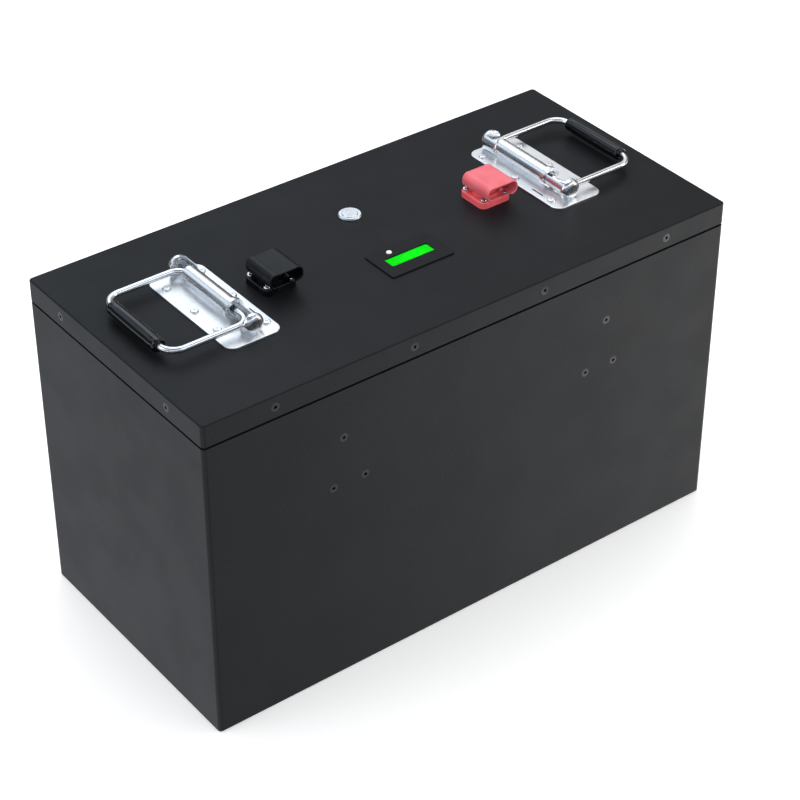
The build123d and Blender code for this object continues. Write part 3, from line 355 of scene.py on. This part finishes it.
def settled(piece, *modifiers):
    """The piece's mesh with the modifiers applied, each given as (kind, {setting: value})."""
    bpy.context.scene.collection.objects.link(piece)
    for kind, settings in modifiers:
        modifier = piece.modifiers.new(kind.lower(), kind)
        for key, value in settings.items():
            setattr(modifier, key, value)
    graph = bpy.context.evaluated_depsgraph_get()
    mesh = bpy.data.meshes.new_from_object(piece.evaluated_get(graph))
    bpy.data.objects.remove(piece)
    return mesh


def smooth_between(value, start, end):
    amount = min(max((value - start) / (end - start), 0.0), 1.0)
    return amount * amount * (3 - 2 * amount)


def hood(polarity):
    """A dipped vinyl hood: soft edges, a roof that dips between its sides, a lip that flares a little."""
    node = f"{polarity}_hood"
    low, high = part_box(node)
    middle = (low + high) / 2
    draft = bpy.data.objects.new(f"{node}_draft", frame["nodes"][node].data.copy())
    mesh = settled(
        draft,
        ("REMESH", {"mode": "VOXEL", "voxel_size": HOOD_VOXEL}),
        ("SMOOTH", {"factor": 0.5, "iterations": 5}),
    )
    half_width = (high.x - low.x) / 2
    half_height = (high.z - low.z) / 2
    for vertex in mesh.vertices:
        across = (vertex.co.x - middle.x) / half_width
        up = (vertex.co.z - middle.z) / half_height
        lip = smooth_between(low.y + HOOD_LIP_LENGTH - vertex.co.y, 0.0, HOOD_LIP_LENGTH)
        inside = 1 - smooth_between(abs(across), 0.35, 0.95)
        roof = smooth_between(up, 0.2, 0.9)
        vertex.co.z -= (HOOD_ROOF_DIP + HOOD_LIP_DIP * lip) * MM * roof * inside
        vertex.co.x += HOOD_LIP_FLARE * lip * across * (1 - inside)
    piece = bpy.data.objects.new(f"{node}_vinyl", mesh)
    link(piece, f"{polarity}_cover", f"{'red' if polarity == 'positive' else 'black'}_hood", node)


def lathe(profile, steps):
    """A closed (radius, distance) profile turned about Y."""
    shape = bmesh.new()
    rows = []
    for step in range(steps):
        angle = 2 * math.pi * step / steps
        rows.append([shape.verts.new((r * math.cos(angle), y, r * math.sin(angle))) for r, y in profile])
    for row, following in zip(rows, rows[1:] + rows[:1]):
        for first in range(len(profile)):
            second = (first + 1) % len(profile)
            shape.faces.new((row[first], following[first], following[second], row[second]))
    bmesh.ops.recalc_face_normals(shape, faces=shape.faces)
    mesh = bpy.data.meshes.new("turned")
    shape.to_mesh(mesh)
    shape.free()
    return mesh


def grip(side):
    """A rubber sleeve: slightly fuller in the middle, a rolled bead at each end, a mould line along it."""
    node = f"{side}_grip"
    low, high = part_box(node)
    middle = (low + high) / 2
    outer = []
    for step in range(GRIP_SECTIONS + 1):
        y = -GRIP_HALF_LENGTH + GRIP_LIP + (2 * GRIP_HALF_LENGTH - 2 * GRIP_LIP) * step / GRIP_SECTIONS
        from_end = GRIP_HALF_LENGTH - abs(y)
        waist = GRIP_WAIST * math.exp(-((from_end - 2 * GRIP_BEAD) / GRIP_BEAD) ** 2)
        crown = GRIP_CROWN * smooth_between(from_end, 3 * GRIP_BEAD, GRIP_HALF_LENGTH)
        round_off = GRIP_LIP * (1 - smooth_between(from_end, GRIP_LIP, 2.6 * GRIP_LIP))
        outer.append((GRIP_RADIUS - GRIP_CROWN - waist + crown - round_off, y))
    front = (outer[0][0] - GRIP_LIP, -GRIP_HALF_LENGTH)
    back = (outer[-1][0] - GRIP_LIP, GRIP_HALF_LENGTH)
    bore = [(GRIP_BORE + GRIP_LIP, GRIP_HALF_LENGTH), (GRIP_BORE, GRIP_HALF_LENGTH - GRIP_LIP)]
    bore += [(radius, -y) for radius, y in reversed(bore)]
    mesh = lathe([front, *outer, back, *bore], GRIP_SIDES)
    for vertex in mesh.vertices:
        radius = math.hypot(vertex.co.x, vertex.co.z)
        if radius > GRIP_BORE + 2 * GRIP_LIP:
            line = math.exp(-(vertex.co.z / MOULD_LINE_WIDTH) ** 2)
            scale = 1 + MOULD_LINE_HEIGHT * line / radius
            vertex.co.x *= scale
            vertex.co.z *= scale
    mesh.transform(Matrix.Translation(middle))
    piece = bpy.data.objects.new(f"{node}_sleeve", mesh)
    link(piece, f"{side}_handle", "grip_rubber", node)


for terminal in ("positive", "negative"):
    hood(terminal)
for hand in ("left", "right"):
    grip(hand)


# ================================================================ floor, light and camera
def floor():
    shape = bmesh.new()
    bmesh.ops.create_grid(shape, x_segments=1, y_segments=1, size=FLOOR_SIZE / 2)
    mesh = bpy.data.meshes.new("floor")
    shape.to_mesh(mesh)
    shape.free()
    piece = bpy.data.objects.new("floor", mesh)
    piece.location.z = -FLOOR_DROP
    bpy.context.scene.collection.objects.link(piece)
    s = Surface("floor_white", Roughness=0.8, Specular_IOR_Level=0.1, Emission_Strength=0.22)
    s.feed(s.shader.inputs["Emission Color"], (1.0, 1.0, 1.0, 1.0))
    s.colour(s.blend(s.noise(3.0), (0.90, 0.90, 0.90), (0.92, 0.92, 0.92)))
    mesh.materials.append(s.material)
    piece.visible_glossy = False


def studio():
    """Even white light on matt surfaces, a plain pale background, and panels that only glossy surfaces see.

    The panels depend on the direction of the reflected ray: X to the right, Y to the back, Z up. A band
    overhead is brightest over the left end of the lid, a low panel in front grows brighter to the right,
    and a low panel stands at the left."""
    world = bpy.data.worlds.new("studio")
    bpy.context.scene.world = world
    world.use_nodes = True
    tree = world.node_tree
    tree.nodes.clear()

    def add(kind, inputs=(), **properties):
        node = tree.nodes.new(kind)
        for key, value in properties.items():
            setattr(node, key, value)
        for key, value in dict(inputs).items():
            if isinstance(value, bpy.types.NodeSocket):
                tree.links.new(value, node.inputs[key])
            else:
                node.inputs[key].default_value = value
        return node

    def ramp(value, start, end, low, high):
        inputs = {"Value": value, "From Min": start, "From Max": end, "To Min": low, "To Max": high}
        return add("ShaderNodeMapRange", inputs, interpolation_type="SMOOTHSTEP").outputs["Result"]

    def maths(operation, first, second):
        return add("ShaderNodeMath", {0: first, 1: second}, operation=operation).outputs[0]

    direction = add("ShaderNodeSeparateXYZ", {0: add("ShaderNodeTexCoord").outputs["Generated"]}).outputs
    to_right = direction["X"]
    to_back = direction["Y"]
    upwards = direction["Z"]

    lower_edge = ramp(upwards, 0.30, 0.46, 0.12, 1.0)
    upper_edge = ramp(upwards, 0.76, 0.62, 0.20, 1.0)
    band = maths("MULTIPLY", lower_edge, upper_edge)
    dim_at_left = maths("MULTIPLY", band, ramp(to_right, -0.10, 0.16, 0.50, 1.0))
    ceiling = maths("MULTIPLY", dim_at_left, ramp(to_right, 0.40, 0.50, 1.95, 0.88))

    slow_rise = ramp(to_right, 0.40, 0.52, 0.45, 1.25)
    fast_rise = ramp(to_right, 0.52, 0.62, 0.0, 2.95)
    rise = maths("ADD", slow_rise, fast_rise)
    dim_below = maths("MULTIPLY", rise, ramp(upwards, -0.54, -0.66, 1.10, 0.62))
    in_front = maths("MULTIPLY", dim_below, ramp(to_back, 0.2, -0.3, 0.0, 1.0))
    at_left = ramp(to_right, 0.1, -0.3, 0.2, 1.3)
    low_panels = maths("ADD", in_front, at_left)

    lowness = ramp(upwards, 0.0, -0.35, 0.0, 1.0)
    strength = add("ShaderNodeMix", {0: lowness, 2: ceiling, 3: low_panels}).outputs[0]

    warm_at_right = ramp(to_right, 0.40, 0.54, 0.0, 1.0)
    warm_below = ramp(upwards, 0.2, 0.0, 0.0, 0.65)
    tint = add("ShaderNodeMix", data_type="RGBA")
    tree.links.new(maths("MAXIMUM", warm_at_right, warm_below), tint.inputs[0])
    tint.inputs[6].default_value = COOL
    tint.inputs[7].default_value = WARM
    panels = add("ShaderNodeBackground", {"Color": tint.outputs[2], "Strength": strength})
    soft = add("ShaderNodeBackground", {"Color": (1.0, 1.0, 1.0, 1.0), "Strength": 1.1})
    plain = add("ShaderNodeBackground", {"Color": (0.985, 0.985, 0.985, 1.0), "Strength": 1.0})
    ray = add("ShaderNodeLightPath").outputs
    lit = add("ShaderNodeMixShader", {0: ray["Is Diffuse Ray"], 1: panels.outputs[0], 2: soft.outputs[0]})
    mixed = add("ShaderNodeMixShader", {0: ray["Is Camera Ray"], 1: lit.outputs[0], 2: plain.outputs[0]})
    add("ShaderNodeOutputWorld", {"Surface": mixed.outputs[0]})


def area_light(name, place, target, size, power, colour=(1.0, 1.0, 1.0)):
    data = bpy.data.lights.new(name, "AREA")
    data.shape = "RECTANGLE"
    data.size, data.size_y = size
    data.energy = power
    data.color = colour
    lamp = bpy.data.objects.new(name, data)
    lamp.location = place
    lamp.rotation_mode = "QUATERNION"
    lamp.rotation_quaternion = (Vector(target) - Vector(place)).to_track_quat("-Z", "Y")
    bpy.context.scene.collection.objects.link(lamp)


def camera():
    azimuth = math.radians(CAMERA_AZIMUTH)
    elevation = math.radians(CAMERA_ELEVATION)
    level = math.cos(elevation)
    back = Vector((math.sin(azimuth) * level, -math.cos(azimuth) * level, math.sin(elevation)))
    data = bpy.data.cameras.new("camera")
    data.sensor_width = 36.0
    data.lens = CAMERA_LENS
    item = bpy.data.objects.new("camera", data)
    item.location = CAMERA_PLACE
    item.rotation_mode = "QUATERNION"
    item.rotation_quaternion = (-back).to_track_quat("-Z", "Y")
    bpy.context.scene.collection.objects.link(item)
    bpy.context.scene.camera = item


LID_MIDDLE = (0.0, 0.0, 0.28)
COOL = (0.84, 0.97, 1.14, 1.0)
WARM = (1.0, 0.995, 0.985, 1.0)
floor()
studio()
area_light("overhead", (0.30, 0.55, 1.75), LID_MIDDLE, (1.5, 1.0), 9.0)
area_light("right_front", (1.35, -0.95, 0.75), (0.15, -0.1, 0.15), (0.5, 1.1), 5.0)
area_light("left", (-1.4, 0.35, 0.8), (-0.2, 0.0, 0.2), (0.6, 0.9), 3.0, (0.92, 0.96, 1.0))
camera()
bpy.context.scene.view_settings.view_transform = "Standard"
